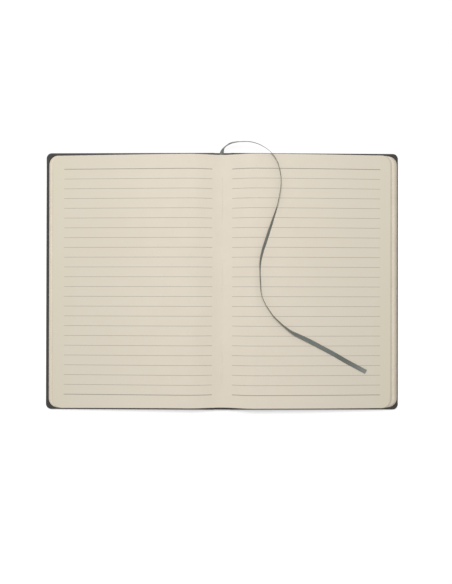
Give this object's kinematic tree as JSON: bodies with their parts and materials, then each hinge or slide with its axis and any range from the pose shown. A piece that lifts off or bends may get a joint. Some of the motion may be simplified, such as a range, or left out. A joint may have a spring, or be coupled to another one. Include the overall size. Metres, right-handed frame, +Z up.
{
  "type": "hard-cover ruled notebook",
  "caption": "Hard-cover ruled notebook lying open at its middle, with humped cream pages, rounded corners, a hinged dark case and a loose ribbon marker.",
  "frame": {"origin": "on the table under the middle of the spine, at the bottom centre of the book's box without the ribbon", "axes": "+X across the opened book towards the back cover, +Y along the spine towards the head, +Z up from the table"},
  "size_m": [0.29, 0.2196, 0.0173],
  "materials": {
    "page_paper": "uncoated, matte",
    "rule_ink": "printed, matte",
    "endpaper": "uncoated, matte",
    "lining_kraft": "uncoated, matte",
    "thread_cotton": "twisted cotton",
    "gauze_cotton": "open weave",
    "ribbon_satin": "satin ribbon",
    "grey_board": "raw board",
    "case_covering": "fine-grained, matte"
  },
  "bodies": {
    "book_block": {"text_block": "page_paper", "ruled_lines": "rule_ink", "sewing_thread": "thread_cotton", "front_free_endpaper": "endpaper", "back_free_endpaper": "endpaper", "spine_gauze": "gauze_cotton", "spine_lining_paper": "lining_kraft", "spine_strip": "grey_board", "spine_covering": "case_covering", "ribbon_marker": "ribbon_satin"},
    "front_cover": {"front_board": "grey_board", "front_covering": "case_covering", "front_pastedown": "endpaper"},
    "back_cover": {"back_board": "grey_board", "back_covering": "case_covering", "back_pastedown": "endpaper"}
  },
  "joints": [
    {"name": "front_cover_hinge", "type": "hinge", "parent": "book_block", "child": "front_cover", "pos_m": [-0.00881, 0, 0.00464], "axis": [0, -1, 0], "range_deg": [0, 90]},
    {"name": "back_cover_hinge", "type": "hinge", "parent": "book_block", "child": "back_cover", "pos_m": [0.00881, 0, 0.00464], "axis": [0, 1, 0], "range_deg": [0, 90]}
  ]
}
